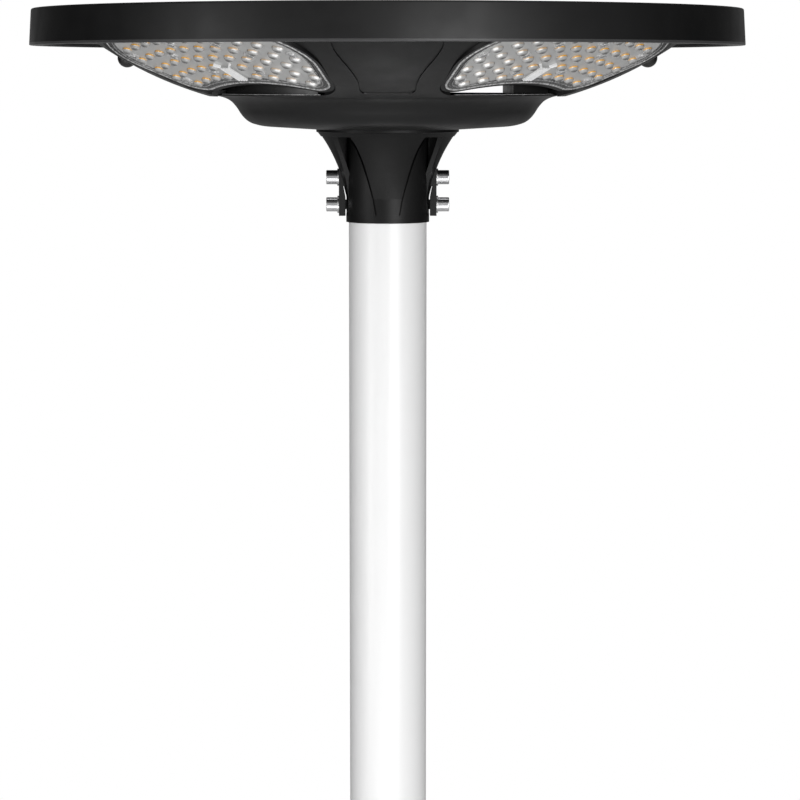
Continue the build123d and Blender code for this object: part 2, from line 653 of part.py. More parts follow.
# ---------------------------------------------------------------- LED modules
fin_foot = led_point(LED_R[0] + 6, 0, TRAY_LAYER[1] - 0.5) - head.origin
fin_end = led_point(LED_R[1] - 22, 0, TRAY_LAYER[1] - 0.5) - head.origin
with BuildPart() as led_tray:
    add(led_layer(TRAY_WALL + LENS_PLAY, *TRAY_LAYER))
    add(led_layer(LENS_PLAY, TRAY_LAYER[0] - 1, BOARD_LAYER[0]), mode=Mode.SUBTRACT)
    add(led_layer(-6.5, BOARD_LAYER[0] - 1, BOARD_LAYER[1]), mode=Mode.SUBTRACT)
    for y in range(-72, 73, 12):
        with BuildSketch(section.offset(y)):
            with BuildLine():
                Polyline((fin_foot.X, fin_foot.Z), (fin_end.X, fin_end.Z), (fin_end.X, FIN_TOP),
                         (fin_foot.X + 4, FIN_TOP), close=True)
            make_face()
        extrude(amount=1.0, both=True)
    with Locations(*led_places(screw_points, TRAY_LAYER[1])):
        Cylinder(1.3, 6, mode=Mode.SUBTRACT)

with BuildPart() as led_board:
    add(led_layer(-7.0, *BOARD_LAYER))
    with Locations(*led_places(screw_points, BOARD_LAYER[0])):
        Cylinder(1.8, 6, mode=Mode.SUBTRACT)

with BuildPart() as led_chips:
    with Locations(*led_places(led_points, BOARD_LAYER[0] - CHIP[2] / 2)):
        Box(*CHIP)

with BuildPart() as led_lens:
    add(led_layer(0.0, 0.0, LENS_T))
    with Locations(*led_places(led_points, DOME_DEPTH)):
        Sphere(DOME_R)
    with BuildSketch(led_plane):
        with Locations(((203.0 - LED_REF[0]) / cos(TILT), 0)):
            Rectangle(34.0, 11.0)
    extrude(amount=-4.6)
    split(bisect_by=led_plane.offset(LENS_T), keep=Keep.BOTTOM)
    with Locations(*led_places(screw_points, 0)):
        Cylinder(1.8, 12, mode=Mode.SUBTRACT)

with BuildPart() as led_gasket:
    add(led_layer(-0.4, LENS_T, BOARD_LAYER[0]))
    add(led_layer(-5.2, LENS_T - 1, BOARD_LAYER[0] + 1), mode=Mode.SUBTRACT)

with BuildPart() as lens_screws:
    with Locations(*led_places(screw_points, -1.0)):
        Cylinder(2.7, 2.0)
    with Locations(*led_places(screw_points, 2.8)):
        Cylinder(1.3, 5.6)

module_pieces = {"led_tray": led_tray, "led_board": led_board, "led_chips": led_chips,
                 "led_lens": led_lens, "led_gasket": led_gasket, "lens_screws": lens_screws}
for name, piece in module_pieces.items():
    for number, angle in enumerate(LED_ANGLES, 1):
        placed = piece.part.rotate(Axis.Z, angle)
        placed.label = f"{name}_{number}"
        export_step(placed, f"parts/{name}_{number}.step")

# ---------------------------------------------------------------- motion sensors
with BuildPart() as sensor_dome:
    with BuildSketch(section):
        with BuildLine():
            bowl = CenterArc((SENSOR_R, SENSOR_H), SENSOR_DOME_R, -90, 90)
            Polyline(bowl @ 1, (SENSOR_R + SENSOR_DOME_R, SENSOR_H + 8), (SENSOR_R, SENSOR_H + 8),
                     bowl @ 0)
        make_face()
    revolve(axis=Axis((SENSOR_R, 0, 0), (0, 0, 1)))
    with Locations((SENSOR_R, 0, COLLAR_Z + SENSOR_H)):
        Sphere(SENSOR_DOME_R - 1.6, mode=Mode.SUBTRACT)
    with BuildSketch(head.offset(SENSOR_H)):
        with Locations((SENSOR_R, 0)):
            Circle(SENSOR_DOME_R - 1.6)
    extrude(amount=9, mode=Mode.SUBTRACT)
for name, turn in (("right", 0), ("left", 180)):
    placed = sensor_dome.part.rotate(Axis.Z, turn)
    placed.label = f"sensor_dome_{name}"
    export_step(placed, f"parts/sensor_dome_{name}.step")

with BuildPart() as sensor_boards:
    with BuildSketch(head.offset(SENSOR_H + 8)):
        with Locations((SENSOR_R, 0), (-SENSOR_R, 0)):
            Circle(SENSOR_DOME_R + 3)
    extrude(amount=1.6)
    with BuildSketch(head.offset(SENSOR_H + 3)):
        with Locations((SENSOR_R, 0), (-SENSOR_R, 0)):
            Circle(4.6)
    extrude(amount=5)
sensor_boards.part.label = "sensor_boards"
export_step(sensor_boards.part, "parts/sensor_boards.step")

# ---------------------------------------------------------------- battery and controller
# Wall segments that close the windows between the arms, down to just above the bowl's lip
with BuildPart() as case_skirts:
    with BuildSketch(head.offset(SKIRT_H)):
        Circle(CASE_R[1])
        Circle(CASE_R[1] - CASE_WALL, mode=Mode.SUBTRACT)
        for turn in (0, 90):
            Rectangle(2 * SKIRT_ARM_HALF, 2 * CASE_R[1] + 10, rotation=turn, mode=Mode.SUBTRACT)
    extrude(amount=CASE_H[1] - SKIRT_H)

with BuildPart() as battery_case:
    for r, low, high in ((CASE_R[0], CASE_H[0], CASE_H[1]), (CASE_R[1], CASE_H[1], CASE_H[2])):
        with BuildSketch(head.offset(low)):
            Circle(r)
            with Locations((CASE_FLAT_X, 0)):
                Rectangle(400, 400, align=(Align.MIN, Align.CENTER), mode=Mode.SUBTRACT)
        extrude(amount=high - low)
    add(case_skirts.part)
    with BuildSketch(head.offset(SKIRT_H)):
        with Locations((CASE_FLAT_X, 0)):
            Rectangle(400, 400, align=(Align.MIN, Align.CENTER))
    extrude(amount=CASE_H[1] - SKIRT_H, mode=Mode.SUBTRACT)
    for r, low, high in ((CASE_R[0], CASE_H[0] + CASE_WALL, CASE_H[1] + 1),
                         (CASE_R[1], CASE_H[1] + CASE_WALL, CASE_H[2])):
        with BuildSketch(head.offset(low)):
            Circle(r - CASE_WALL)
            with Locations((CASE_FLAT_X - CASE_WALL, 0)):
                Rectangle(400, 400, align=(Align.MIN, Align.CENTER), mode=Mode.SUBTRACT)
        extrude(amount=high - low, mode=Mode.SUBTRACT)
    with BuildSketch(head.offset(CASE_H[1])):
        Circle(CASE_R[0] - CASE_WALL)
        with Locations((CASE_FLAT_X - CASE_WALL, 0)):
            Rectangle(400, 400, align=(Align.MIN, Align.CENTER), mode=Mode.SUBTRACT)
    extrude(amount=CASE_WALL, mode=Mode.SUBTRACT)
    with BuildSketch(head.offset(BOWL_FLOOR + BOWL_FLOOR_T)):
        with GridLocations(2 * COLLAR_SCREW_XY, 2 * COLLAR_SCREW_XY, 2, 2):
            Circle(6.5)
    extrude(amount=CASE_H[0] - BOWL_FLOOR - BOWL_FLOOR_T)
    with BuildSketch(head.offset(BOWL_FLOOR + BOWL_FLOOR_T)):
        with GridLocations(2 * COLLAR_SCREW_XY, 2 * COLLAR_SCREW_XY, 2, 2):
            Circle(3.0)
    extrude(amount=16.0, mode=Mode.SUBTRACT)
battery_case.part.label = "battery_case"
export_step(battery_case.part, "parts/battery_case.step")

with BuildPart() as battery_lid:
    with BuildSketch(head.offset(CASE_H[2])):
        Circle(CASE_R[1])
        with Locations((CASE_FLAT_X, 0)):
            Rectangle(400, 400, align=(Align.MIN, Align.CENTER), mode=Mode.SUBTRACT)
    extrude(amount=2.5)
battery_lid.part.label = "battery_lid"
export_step(battery_lid.part, "parts/battery_lid.step")

with BuildPart() as battery_cells:
    reach = CASE_R[0] - CASE_WALL - CELL_BODY_R - 1
    spots = [((k - 3) * CELL_PITCH - 17, (j - 3) * CELL_PITCH) for k in range(7) for j in range(7)]
    spots = [(x, y) for x, y in spots if hypot(x, y) < reach and x < 25]
    with BuildSketch(head.offset(CASE_H[0] + CASE_WALL)):
        with Locations(*spots):
            Circle(CELL_BODY_R)
    extrude(amount=CELL_BODY_L)
battery_cells.part.label = "battery_cells"
export_step(battery_cells.part, "parts/battery_cells.step")

with BuildPart() as bms_board:
    with BuildSketch(head.offset(CASE_H[0] + CASE_WALL + 4)):
        with Locations((49.0, 0)):
            Rectangle(1.6, 120)
            with Locations((-3.0, 20)):
                Rectangle(4.4, 26)
    extrude(amount=52)
bms_board.part.label = "bms_board"
export_step(bms_board.part, "parts/bms_board.step")

with BuildPart() as controller_case:
    for inset, low, high in ((0, CASE_H[1], CASE_H[2]),
                             (CONTROLLER_WALL, CASE_H[1] + CONTROLLER_WALL, CASE_H[2] - CONTROLLER_WALL)):
        with BuildSketch(head.offset(low)):
            Circle(CASE_R[1] - inset)
            with Locations((CONTROLLER_X + inset, 0)):
                Rectangle(400, 400, align=(Align.MAX, Align.CENTER), mode=Mode.SUBTRACT)
        extrude(amount=high - low, mode=Mode.SUBTRACT if inset else Mode.ADD)
    with BuildSketch(head.offset(CASE_H[0] + 1)):
        with Locations((CONTROLLER_X, 0)):
            Rectangle(*CONTROLLER_BASE, align=(Align.MIN, Align.CENTER))
    extrude(amount=CASE_H[1] - CASE_H[0] - 1)
    with BuildSketch(head.offset(CASE_H[0] + 1 + CONTROLLER_WALL)):
        with Locations((CONTROLLER_X + CONTROLLER_BASE[0] / 2, 0)):
            Rectangle(CONTROLLER_BASE[0] - 2 * CONTROLLER_WALL, CONTROLLER_BASE[1] - 2 * CONTROLLER_WALL)
    extrude(amount=CASE_H[1] - CASE_H[0] + 1, mode=Mode.SUBTRACT)
    add(case_skirts.part)
    with BuildSketch(head.offset(SKIRT_H)):
        with Locations((CONTROLLER_X, 0)):
            Rectangle(400, 400, align=(Align.MAX, Align.CENTER))
    extrude(amount=CASE_H[1] - SKIRT_H, mode=Mode.SUBTRACT)
    with BuildSketch(head.offset(SKIRT_H)):
        Circle(CASE_R[1])
        with Locations((CONTROLLER_X, 0)):
            Rectangle(400, 400, align=(Align.MAX, Align.CENTER), mode=Mode.SUBTRACT)
        with Locations((CONTROLLER_X + CONTROLLER_WALL, 0)):
            Rectangle(400, 400, align=(Align.MIN, Align.CENTER), mode=Mode.SUBTRACT)
    extrude(amount=CASE_H[1] - SKIRT_H)
controller_case.part.label = "controller_case"
export_step(controller_case.part, "parts/controller_case.step")

with BuildPart() as controller_board:
    with BuildSketch(head.offset(LIP_H + ARM_TAB_T + 14.0)):
        with Locations((CONTROLLER_X + 22, 0)):
            Rectangle(34, 84)
    extrude(amount=1.6)
    with BuildSketch(head.offset(LIP_H + ARM_TAB_T + 15.6)):
        with Locations((CONTROLLER_X + 14, 20), (CONTROLLER_X + 30, -20)):
            Rectangle(16, 24)
    extrude(amount=14)
controller_board.part.label = "controller_board"
export_step(controller_board.part, "parts/controller_board.step")
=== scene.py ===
import json
import math

import bmesh
import bpy
from mathutils import Matrix, Vector


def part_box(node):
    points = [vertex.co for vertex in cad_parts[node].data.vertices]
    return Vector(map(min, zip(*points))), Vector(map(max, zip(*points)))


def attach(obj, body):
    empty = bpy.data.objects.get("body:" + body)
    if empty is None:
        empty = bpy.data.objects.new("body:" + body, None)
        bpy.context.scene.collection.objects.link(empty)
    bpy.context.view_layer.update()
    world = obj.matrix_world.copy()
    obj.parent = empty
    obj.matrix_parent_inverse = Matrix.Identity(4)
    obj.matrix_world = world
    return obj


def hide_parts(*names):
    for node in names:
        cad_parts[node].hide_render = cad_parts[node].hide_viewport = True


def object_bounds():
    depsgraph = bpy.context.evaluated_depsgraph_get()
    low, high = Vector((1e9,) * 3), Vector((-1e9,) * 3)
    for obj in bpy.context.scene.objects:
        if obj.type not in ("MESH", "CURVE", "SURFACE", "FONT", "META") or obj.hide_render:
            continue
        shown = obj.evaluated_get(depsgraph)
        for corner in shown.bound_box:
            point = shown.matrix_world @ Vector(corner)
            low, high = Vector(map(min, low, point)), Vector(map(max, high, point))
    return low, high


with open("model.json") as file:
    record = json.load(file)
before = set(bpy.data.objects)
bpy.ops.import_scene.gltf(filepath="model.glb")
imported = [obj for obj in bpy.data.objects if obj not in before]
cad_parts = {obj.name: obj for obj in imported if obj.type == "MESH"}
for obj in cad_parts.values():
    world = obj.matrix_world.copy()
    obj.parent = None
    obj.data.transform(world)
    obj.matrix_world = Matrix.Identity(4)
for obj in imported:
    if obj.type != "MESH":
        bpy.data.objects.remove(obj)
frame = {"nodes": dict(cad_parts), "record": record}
cad_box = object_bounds()

# ---------------------------------------------------------------- places, read from the frame
HEAD_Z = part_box("collar")[0][2]
NODES = frame["nodes"]

# Camera: level with the lower part of the head, tipped down to take in the pole
EYE_UP = 0.1423
EYE_AWAY = 2.602
CAMERA_TIP = math.radians(6.976)
CAMERA_TURN = math.radians(0.265)
CAMERA_LENS = 119.5

# Brightness of the surroundings from straight in front (0) through the sides (0.5) to behind (1)
WORLD_GLOW = [(0.0, 0.40), (0.34, 0.40), (0.55, 0.05), (0.82, 0.03), (0.95, 0.22), (1.0, 0.3)]

FLOOR_R = 5.2
FLOOR_DROP = 0.001              # the floor lies this far under the base plate

# Soft lights: name, place with its height from HEAD_Z, width and height in metres, power in watts
LIGHTS = [("key", 1.5, -3.9, -0.2, 1.8, 2.6, 84),
          ("fill", -3.0, -2.2, -0.2, 1.2, 2.4, 26),
          ("low", -0.6, -2.4, -1.8, 2.4, 1.6, 22),
          ("back", 0.0, 3.6, 2.4, 2.5, 1.6, 14),
          ("top", 0.0, 0.0, 3.2, 3.0, 3.0, 40)]
LIGHT_AIM_UP = 0.1

# What the painted marks on a lens bead add to it, in the order in which they are laid over each other:
# painted shade, a painted highlight and the amber chip's painted image
BEAD_TINTS = [("shade", (0.012, 0.011, 0.010)), ("glint", (1.0, 1.0, 1.0)), ("amber", (0.95, 0.45, 0.005))]

# What noise mostly ranges over, stretched to the gloss range that a material asks for
NOISE_RANGE = (0.3, 0.7)


# ---------------------------------------------------------------- material helpers
def new_material(name):
    """An empty node material with its Principled shader."""
    mat = bpy.data.materials.new(name)
    mat.use_nodes = True
    nodes = mat.node_tree.nodes
    nodes.clear()
    out = nodes.new("ShaderNodeOutputMaterial")
    shader = nodes.new("ShaderNodeBsdfPrincipled")
    mat.node_tree.links.new(shader.outputs[0], out.inputs[0])
    return mat, shader, out


def node(mat, kind, **values):
    """Adds a node and sets its inputs by name, with _ for a space, or its own properties."""
    made = mat.node_tree.nodes.new(kind)
    for key, value in values.items():
        name = key.replace("_", " ")
        if name in made.inputs:
            made.inputs[name].default_value = value
        else:
            setattr(made, key, value)
    return made


def link(mat, source, target):
    """Joins an output to an input."""
    mat.node_tree.links.new(source, target)


def noise(mat, scale, detail=3.0):
    """Noise in the object's own coordinates, scale in waves per metre."""
    coord = node(mat, "ShaderNodeTexCoord")
    tex = node(mat, "ShaderNodeTexNoise", Scale=scale, Detail=detail, Roughness=0.5)
    link(mat, coord.outputs["Object"], tex.inputs["Vector"])
    return tex.outputs["Fac"]


def spread(mat, value, low, high, out_low, out_high):
    """Maps a value from one range to another."""
    ramp = node(mat, "ShaderNodeMapRange")
    for slot, number in zip(("From Min", "From Max", "To Min", "To Max"), (low, high, out_low, out_high)):
        ramp.inputs[slot].default_value = number
    link(mat, value, ramp.inputs["Value"])
    return ramp.outputs["Result"]


def blend_colours(mat, factor, first, second):
    """Goes from one plain colour to another as the factor goes from 0 to 1."""
    mix = node(mat, "ShaderNodeMix", data_type="RGBA")
    mix.inputs["A"].default_value = (*first, 1)
    mix.inputs["B"].default_value = (*second, 1)
    link(mat, factor, mix.inputs["Factor"])
    return mix.outputs["Result"]


def overlay(mat, below, tint, amount):
    """Lays a plain tint over a colour, as strongly as amount says."""
    mix = node(mat, "ShaderNodeMix", data_type="RGBA")
    mix.inputs["B"].default_value = (*tint, 1)
    link(mat, amount, mix.inputs["Factor"])
    link(mat, below, mix.inputs["A"])
    return mix.outputs["Result"]


def patchy_colour(mat, shader, scale, dark, light, detail=3.0):
    """Base colour that drifts between two close colours."""
    link(mat, blend_colours(mat, noise(mat, scale, detail), dark, light), shader.inputs["Base Color"])


def patchy_gloss(mat, shader, scale, rough):
    """Roughness that drifts over a range."""
    link(mat, spread(mat, noise(mat, scale), *NOISE_RANGE, *rough), shader.inputs["Roughness"])


def add_bump(mat, shader, height, strength, distance):
    """Fine relief, its distance in metres."""
    bump = node(mat, "ShaderNodeBump", Strength=strength, Distance=distance)
    link(mat, height, bump.inputs["Height"])
    link(mat, bump.outputs["Normal"], shader.inputs["Normal"])


def painted(name, dark, light, rough, grain=2200.0, bump=0.00004, ior=1.5):
    """Powder coat: two close colours, orange-peel grain and a little change of gloss."""
    mat, shader, _ = new_material(name)
    shader.inputs["IOR"].default_value = ior
    patchy_colour(mat, shader, 14.0, dark, light, 4.0)
    patchy_gloss(mat, shader, 35.0, rough)
    add_bump(mat, shader, noise(mat, grain, 2.0), 0.35, bump)
    return mat


def metal(name, colour, dull, rough, grain=900.0):
    """Bare or plated metal, with duller patches."""
    mat, shader, _ = new_material(name)
    shader.inputs["Metallic"].default_value = 1.0
    patchy_colour(mat, shader, 60.0, dull, colour)
    patchy_gloss(mat, shader, 180.0, rough)
    add_bump(mat, shader, noise(mat, grain), 0.15, 0.00003)
    return mat


def moulded(name, dark, light, rough, grain=1400.0):
    """Plastic, rubber and other dull surfaces without a coat."""
    mat, shader, _ = new_material(name)
    patchy_colour(mat, shader, 40.0, dark, light)
    patchy_gloss(mat, shader, 90.0, rough)
    add_bump(mat, shader, noise(mat, grain), 0.3, 0.00005)
    return mat


def clear(name, tint, rough, ior):
    """Clear plastic or glass that lets the lights through to what is behind it."""
    mat, shader, out = new_material(name)
    shader.inputs["Transmission Weight"].default_value = 1.0
    shader.inputs["IOR"].default_value = ior
    patchy_colour(mat, shader, 25.0, tint, (1.0, 1.0, 1.0))
    patchy_gloss(mat, shader, 120.0, rough)
    through = node(mat, "ShaderNodeBsdfTransparent")
    path = node(mat, "ShaderNodeLightPath")
    mix = node(mat, "ShaderNodeMixShader")
    link(mat, path.outputs["Is Shadow Ray"], mix.inputs["Fac"])
    link(mat, shader.outputs[0], mix.inputs[1])
    link(mat, through.outputs[0], mix.inputs[2])
    link(mat, mix.outputs[0], out.inputs[0])
    return mat


def bead(name):
    """A clear bead over a light source, painted by vertex: its amber chip's image where the bead would show
    it, a painted highlight (glint), and painted shade by its foot and at its tip.
    """
    mat, shader, _ = new_material(name)
    colour = blend_colours(mat, noise(mat, 90.0), (0.36, 0.36, 0.355), (0.48, 0.48, 0.475))
    for layer, tint in BEAD_TINTS:
        amount = node(mat, "ShaderNodeAttribute", attribute_name=layer)
        colour = overlay(mat, colour, tint, amount.outputs["Fac"])
    link(mat, colour, shader.inputs["Base Color"])
    patchy_gloss(mat, shader, 300.0, (0.12, 0.24))
    shader.inputs["Coat Weight"].default_value = 0.6
    shader.inputs["Coat Roughness"].default_value = 0.05
    return mat


def ruled(name, dark, light, line, rough, pitches, widths, strengths):
    """Silicon cells: dark blue with silver lines along Y, and finer ones along X; sizes in metres."""
    mat, shader, _ = new_material(name)
    coord = node(mat, "ShaderNodeTexCoord")
    split = node(mat, "ShaderNodeSeparateXYZ")
    link(mat, coord.outputs["Object"], split.inputs[0])
    colour = blend_colours(mat, noise(mat, 25.0), dark, light)
    for axis, pitch, width, strength in zip("XY", pitches, widths, strengths):
        fold = node(mat, "ShaderNodeMath", operation="PINGPONG")
        fold.inputs[1].default_value = pitch / 2
        link(mat, split.outputs[axis], fold.inputs[0])
        on_line = spread(mat, fold.outputs[0], width / 2, width * 0.6, strength, 0.0)
        colour = overlay(mat, colour, line, on_line)
    link(mat, colour, shader.inputs["Base Color"])
    patchy_gloss(mat, shader, 90.0, rough)
    return mat


def coated(name, dark, light, rough, coat, coat_rough):
    """Moulded plastic under a clear face: patchy base and a sharp second gloss."""
    mat, shader, _ = new_material(name)
    patchy_colour(mat, shader, 130.0, dark, light, 5.0)
    patchy_gloss(mat, shader, 220.0, rough)
    shader.inputs["Coat Weight"].default_value = coat
    shader.inputs["Coat Roughness"].default_value = coat_rough
    add_bump(mat, shader, noise(mat, 500.0), 0.15, 0.00004)
    return mat


def frosted(name, dark, light, rough, through):
    """Moulded plastic that is partly clear."""
    mat, shader, _ = new_material(name)
    shader.inputs["Transmission Weight"].default_value = through
    shader.inputs["IOR"].default_value = 1.49
    patchy_colour(mat, shader, 400.0, dark, light)
    patchy_gloss(mat, shader, 600.0, rough)
    add_bump(mat, shader, noise(mat, 900.0), 0.3, 0.00008)
    return mat


def crested(name, valley, crest, rough):
    """Clear ridged edge: dark in its valleys, with a painted highlight in speckles along its ridge tops."""
    mat, shader, _ = new_material(name)
    height = node(mat, "ShaderNodeAttribute", attribute_name="crest")
    speckle = node(mat, "ShaderNodeMath", operation="MULTIPLY")
    link(mat, height.outputs["Fac"], speckle.inputs[0])
    link(mat, spread(mat, noise(mat, 420.0, 5.0), 0.40, 0.60, 0.35, 1.0), speckle.inputs[1])
    base = blend_colours(mat, noise(mat, 130.0, 5.0), *valley)
    link(mat, overlay(mat, base, crest, speckle.outputs[0]), shader.inputs["Base Color"])
    patchy_gloss(mat, shader, 220.0, rough)
    shader.inputs["Coat Weight"].default_value = 0.25
    shader.inputs["Coat Roughness"].default_value = 0.08
    return mat


# ---------------------------------------------------------------- camera, lights, floor
def make_camera():
    """The camera in front of the lamp, a little above the bowl."""
    data = bpy.data.cameras.new("camera")
    data.lens = CAMERA_LENS
    data.sensor_width = 36.0
    data.clip_end = 200.0
    camera = bpy.data.objects.new("camera", data)
    bpy.context.collection.objects.link(camera)
    camera.location = (0.0, -EYE_AWAY, HEAD_Z + EYE_UP)
    camera.rotation_euler = (math.pi / 2 - CAMERA_TIP, 0.0, -CAMERA_TURN)
    bpy.context.scene.camera = camera


def soft_light(name, place, target, width, height, power):
    """A rectangular area light aimed at a target."""
    data = bpy.data.lights.new(name, "AREA")
    data.shape = "RECTANGLE"
    data.size = width
    data.size_y = height
    data.energy = power
    light = bpy.data.objects.new(name, data)
    bpy.context.collection.objects.link(light)
    light.location = place
    light.rotation_euler = (Vector(target) - Vector(place)).to_track_quat("-Z", "Y").to_euler()


def make_world():
    """A white backdrop. The lamp reflects a room that is bright in front and darker from the sides back."""
    world = bpy.data.worlds.new("studio")
    bpy.context.scene.world = world
    world.use_nodes = True
    tree = world.node_tree
    nodes = tree.nodes
    nodes.clear()
    out = nodes.new("ShaderNodeOutputWorld")
    seen = nodes.new("ShaderNodeBackground")
    seen.inputs["Color"].default_value = (1, 1, 1, 1)
    room = nodes.new("ShaderNodeBackground")
    coord = nodes.new("ShaderNodeTexCoord")
    split = nodes.new("ShaderNodeSeparateXYZ")
    tree.links.new(coord.outputs["Generated"], split.inputs[0])
    glow = nodes.new("ShaderNodeValToRGB")
    glow.color_ramp.interpolation = "EASE"
    stops = glow.color_ramp.elements
    for stop, (place, level) in zip(stops, (WORLD_GLOW[0], WORLD_GLOW[-1])):
        stop.position = place
        stop.color = (level, level, level, 1)
    for place, level in WORLD_GLOW[1:-1]:
        stops.new(place).color = (level, level, level, 1)
    along = nodes.new("ShaderNodeMapRange")
    along.inputs["From Min"].default_value = -1.0
    tree.links.new(split.outputs["Y"], along.inputs["Value"])
    tree.links.new(along.outputs["Result"], glow.inputs["Fac"])
    tree.links.new(glow.outputs["Color"], room.inputs["Color"])
    path = nodes.new("ShaderNodeLightPath")
    mix = nodes.new("ShaderNodeMixShader")
    tree.links.new(path.outputs["Is Camera Ray"], mix.inputs["Fac"])
    tree.links.new(room.outputs[0], mix.inputs[1])
    tree.links.new(seen.outputs[0], mix.inputs[2])
    tree.links.new(mix.outputs[0], out.inputs[0])


def make_floor():
    """A round pale floor under the base plate."""
    mesh = bpy.data.meshes.new("floor")
    shape = bmesh.new()
    bmesh.ops.create_circle(shape, cap_ends=True, segments=128, radius=FLOOR_R)
    shape.to_mesh(mesh)
    shape.free()
    floor = bpy.data.objects.new("floor", mesh)
    bpy.context.collection.objects.link(floor)
    floor.location = (0, 0, cad_box[0][2] - FLOOR_DROP)
    floor.data.materials.append(moulded("floor_paint", (0.86, 0.86, 0.86), (0.9, 0.9, 0.9), (0.7, 0.9), 60.0))


def make_studio():
    """Everything around the lamp."""
    bpy.context.scene.view_settings.view_transform = "Standard"
    make_camera()
    make_world()
    make_floor()
    for name, x, y, up, width, height, power in LIGHTS:
        soft_light(name, (x, y, HEAD_Z + up), (0, 0, HEAD_Z + LIGHT_AIM_UP), width, height, power)


# ---------------------------------------------------------------- materials
BLACK = painted("black_powder_coat", (0.0032, 0.0032, 0.0033), (0.0048, 0.0048, 0.0050), (0.36, 0.46),
                ior=1.38)
# A darker, duller copy of the black coat for the collar alone: painted shade
COLLAR_SHADED_BLACK = painted("black_powder_coat_shaded", (0.0028, 0.0028, 0.0029), (0.0042, 0.0042, 0.0043),
                       (0.40, 0.50), ior=1.32)
# A lighter copy of the black coat for the rim's foot: a painted highlight along the rim's lower edge
RIM_FOOT_HIGHLIGHT = painted("rim_foot_painted_highlight", (0.040, 0.040, 0.041), (0.052, 0.052, 0.053), (0.30, 0.40), ior=1.38)
WHITE = painted("white_powder_coat", (0.86, 0.86, 0.86), (0.88, 0.88, 0.88), (0.28, 0.32), 1500.0, 0.00002)
CHROME = metal("bright_plating", (0.86, 0.86, 0.87), (0.7, 0.7, 0.71), (0.08, 0.2))
STEEL = metal("stainless", (0.72, 0.72, 0.72), (0.58, 0.58, 0.58), (0.2, 0.34))
DARK_STEEL = metal("black_oxide", (0.05, 0.05, 0.05), (0.03, 0.03, 0.03), (0.3, 0.45))
PLASTIC = moulded("black_plastic", (0.008, 0.008, 0.008), (0.014, 0.014, 0.014), (0.25, 0.38))
RUBBER = moulded("seal_rubber", (0.012, 0.012, 0.012), (0.02, 0.02, 0.02), (0.6, 0.8))
BUTTON = moulded("button_rubber", (0.22, 0.012, 0.012), (0.3, 0.02, 0.02), (0.5, 0.65))
BOARD = moulded("light_board", (0.44, 0.44, 0.437), (0.50, 0.50, 0.497), (0.4, 0.55))
CIRCUIT = moulded("green_board", (0.01, 0.09, 0.035), (0.02, 0.13, 0.05), (0.3, 0.5))
PHOSPHOR = moulded("amber_phosphor", (0.85, 0.42, 0.05), (0.95, 0.55, 0.10), (0.4, 0.6))
CELL_WRAP = moulded("cell_wrap", (0.03, 0.12, 0.42), (0.05, 0.18, 0.5), (0.25, 0.4))
LENS = clear("clear_lens", (0.93, 0.94, 0.95), (0.02, 0.07), 1.49)
GLASS = clear("panel_glass", (0.93, 0.96, 0.97), (0.03, 0.08), 1.5)
DOME = bead("lens_bead")
LENS_FACE = coated("lens_face", (0.40, 0.40, 0.397), (0.46, 0.46, 0.456), (0.3, 0.42), 0.35, 0.12)
# The dark valleys are the black behind the clear edge; the light along the ridges is a painted highlight
LENS_EDGE = crested("lens_edge", ((0.008, 0.008, 0.008), (0.03, 0.03, 0.03)), (0.62, 0.62, 0.62),
                    (0.24, 0.36))
# The white mottle on the clear collars is painted sparkle: a painted highlight
BOSS = frosted("lens_boss", (0.16, 0.16, 0.16), (1.0, 1.0, 1.0), (0.05, 0.15), 0.1)
FROSTED = frosted("frosted_duct", (0.86, 0.86, 0.86), (0.95, 0.95, 0.95), (0.25, 0.4), 0.08)
SILICON = ruled("silicon", (0.004, 0.007, 0.030), (0.007, 0.012, 0.045), (0.45, 0.47, 0.5), (0.2, 0.3),
                pitches=(0.02, 0.0025), widths=(0.0012, 0.0003), strengths=(1.0, 0.35))
# Dark with bright dashes, for the strip on the bowl's lip: a painted highlight
WINDOW_GLINT_STRIP = coated("window_glint_strip", (0.03, 0.03, 0.03), (0.75, 0.75, 0.75), (0.2, 0.3), 0.6, 0.1)
BACKSHEET = moulded("backsheet", (0.02, 0.02, 0.022), (0.03, 0.03, 0.032), (0.5, 0.7))

# The material of each slot, and of the nodes that don't take their slot's
BY_SLOT = {
    "cast_black": BLACK, "white_paint": WHITE, "chrome_screw": CHROME, "bright_steel": STEEL,
    "dark_steel": DARK_STEEL, "black_plastic": PLASTIC, "seal_rubber": RUBBER, "button_rubber": BUTTON,
    "led_board": BOARD, "circuit_board": CIRCUIT, "phosphor": PHOSPHOR, "cell_wrap": CELL_WRAP,
    "clear_lens": LENS, "panel_glass": GLASS, "silicon": SILICON, "backsheet": BACKSHEET,
}
BY_NODE = {"collar": COLLAR_SHADED_BLACK}


def dress_cad_nodes():
    """Gives every CAD node the material of its slot, or its own where it has one."""
    for part in frame["record"]["subparts"]:
        thing = NODES[part["node"]]
        thing.data.materials.clear()
        thing.data.materials.append(BY_NODE.get(part["node"], BY_SLOT[part["material_slot"]]))


# ---------------------------------------------------------------- shapes
SEGMENTS = 288


def new_piece(name, mesh, material, body, slot, *nodes):
    """Puts a finished mesh in the scene as a piece of the lamp."""
    piece = bpy.data.objects.new(name, mesh)
    bpy.context.collection.objects.link(piece)
    mesh.materials.append(material)
    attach(piece, body)
    if nodes:
        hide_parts(*nodes)


def smooth(mesh, angle=35.0):
    """Smooth shading except over edges sharper than an angle."""
    for face in mesh.polygons:
        face.use_smooth = True
    mesh.set_sharp_from_angle(angle=math.radians(angle))
    return mesh


def finish_mesh(name, shape, angle=35.0):
    """Turns a bmesh into a mesh with its normals outwards."""
    bmesh.ops.recalc_face_normals(shape, faces=shape.faces)
    mesh = bpy.data.meshes.new(name)
    shape.to_mesh(mesh)
    shape.free()
    return smooth(mesh, angle)


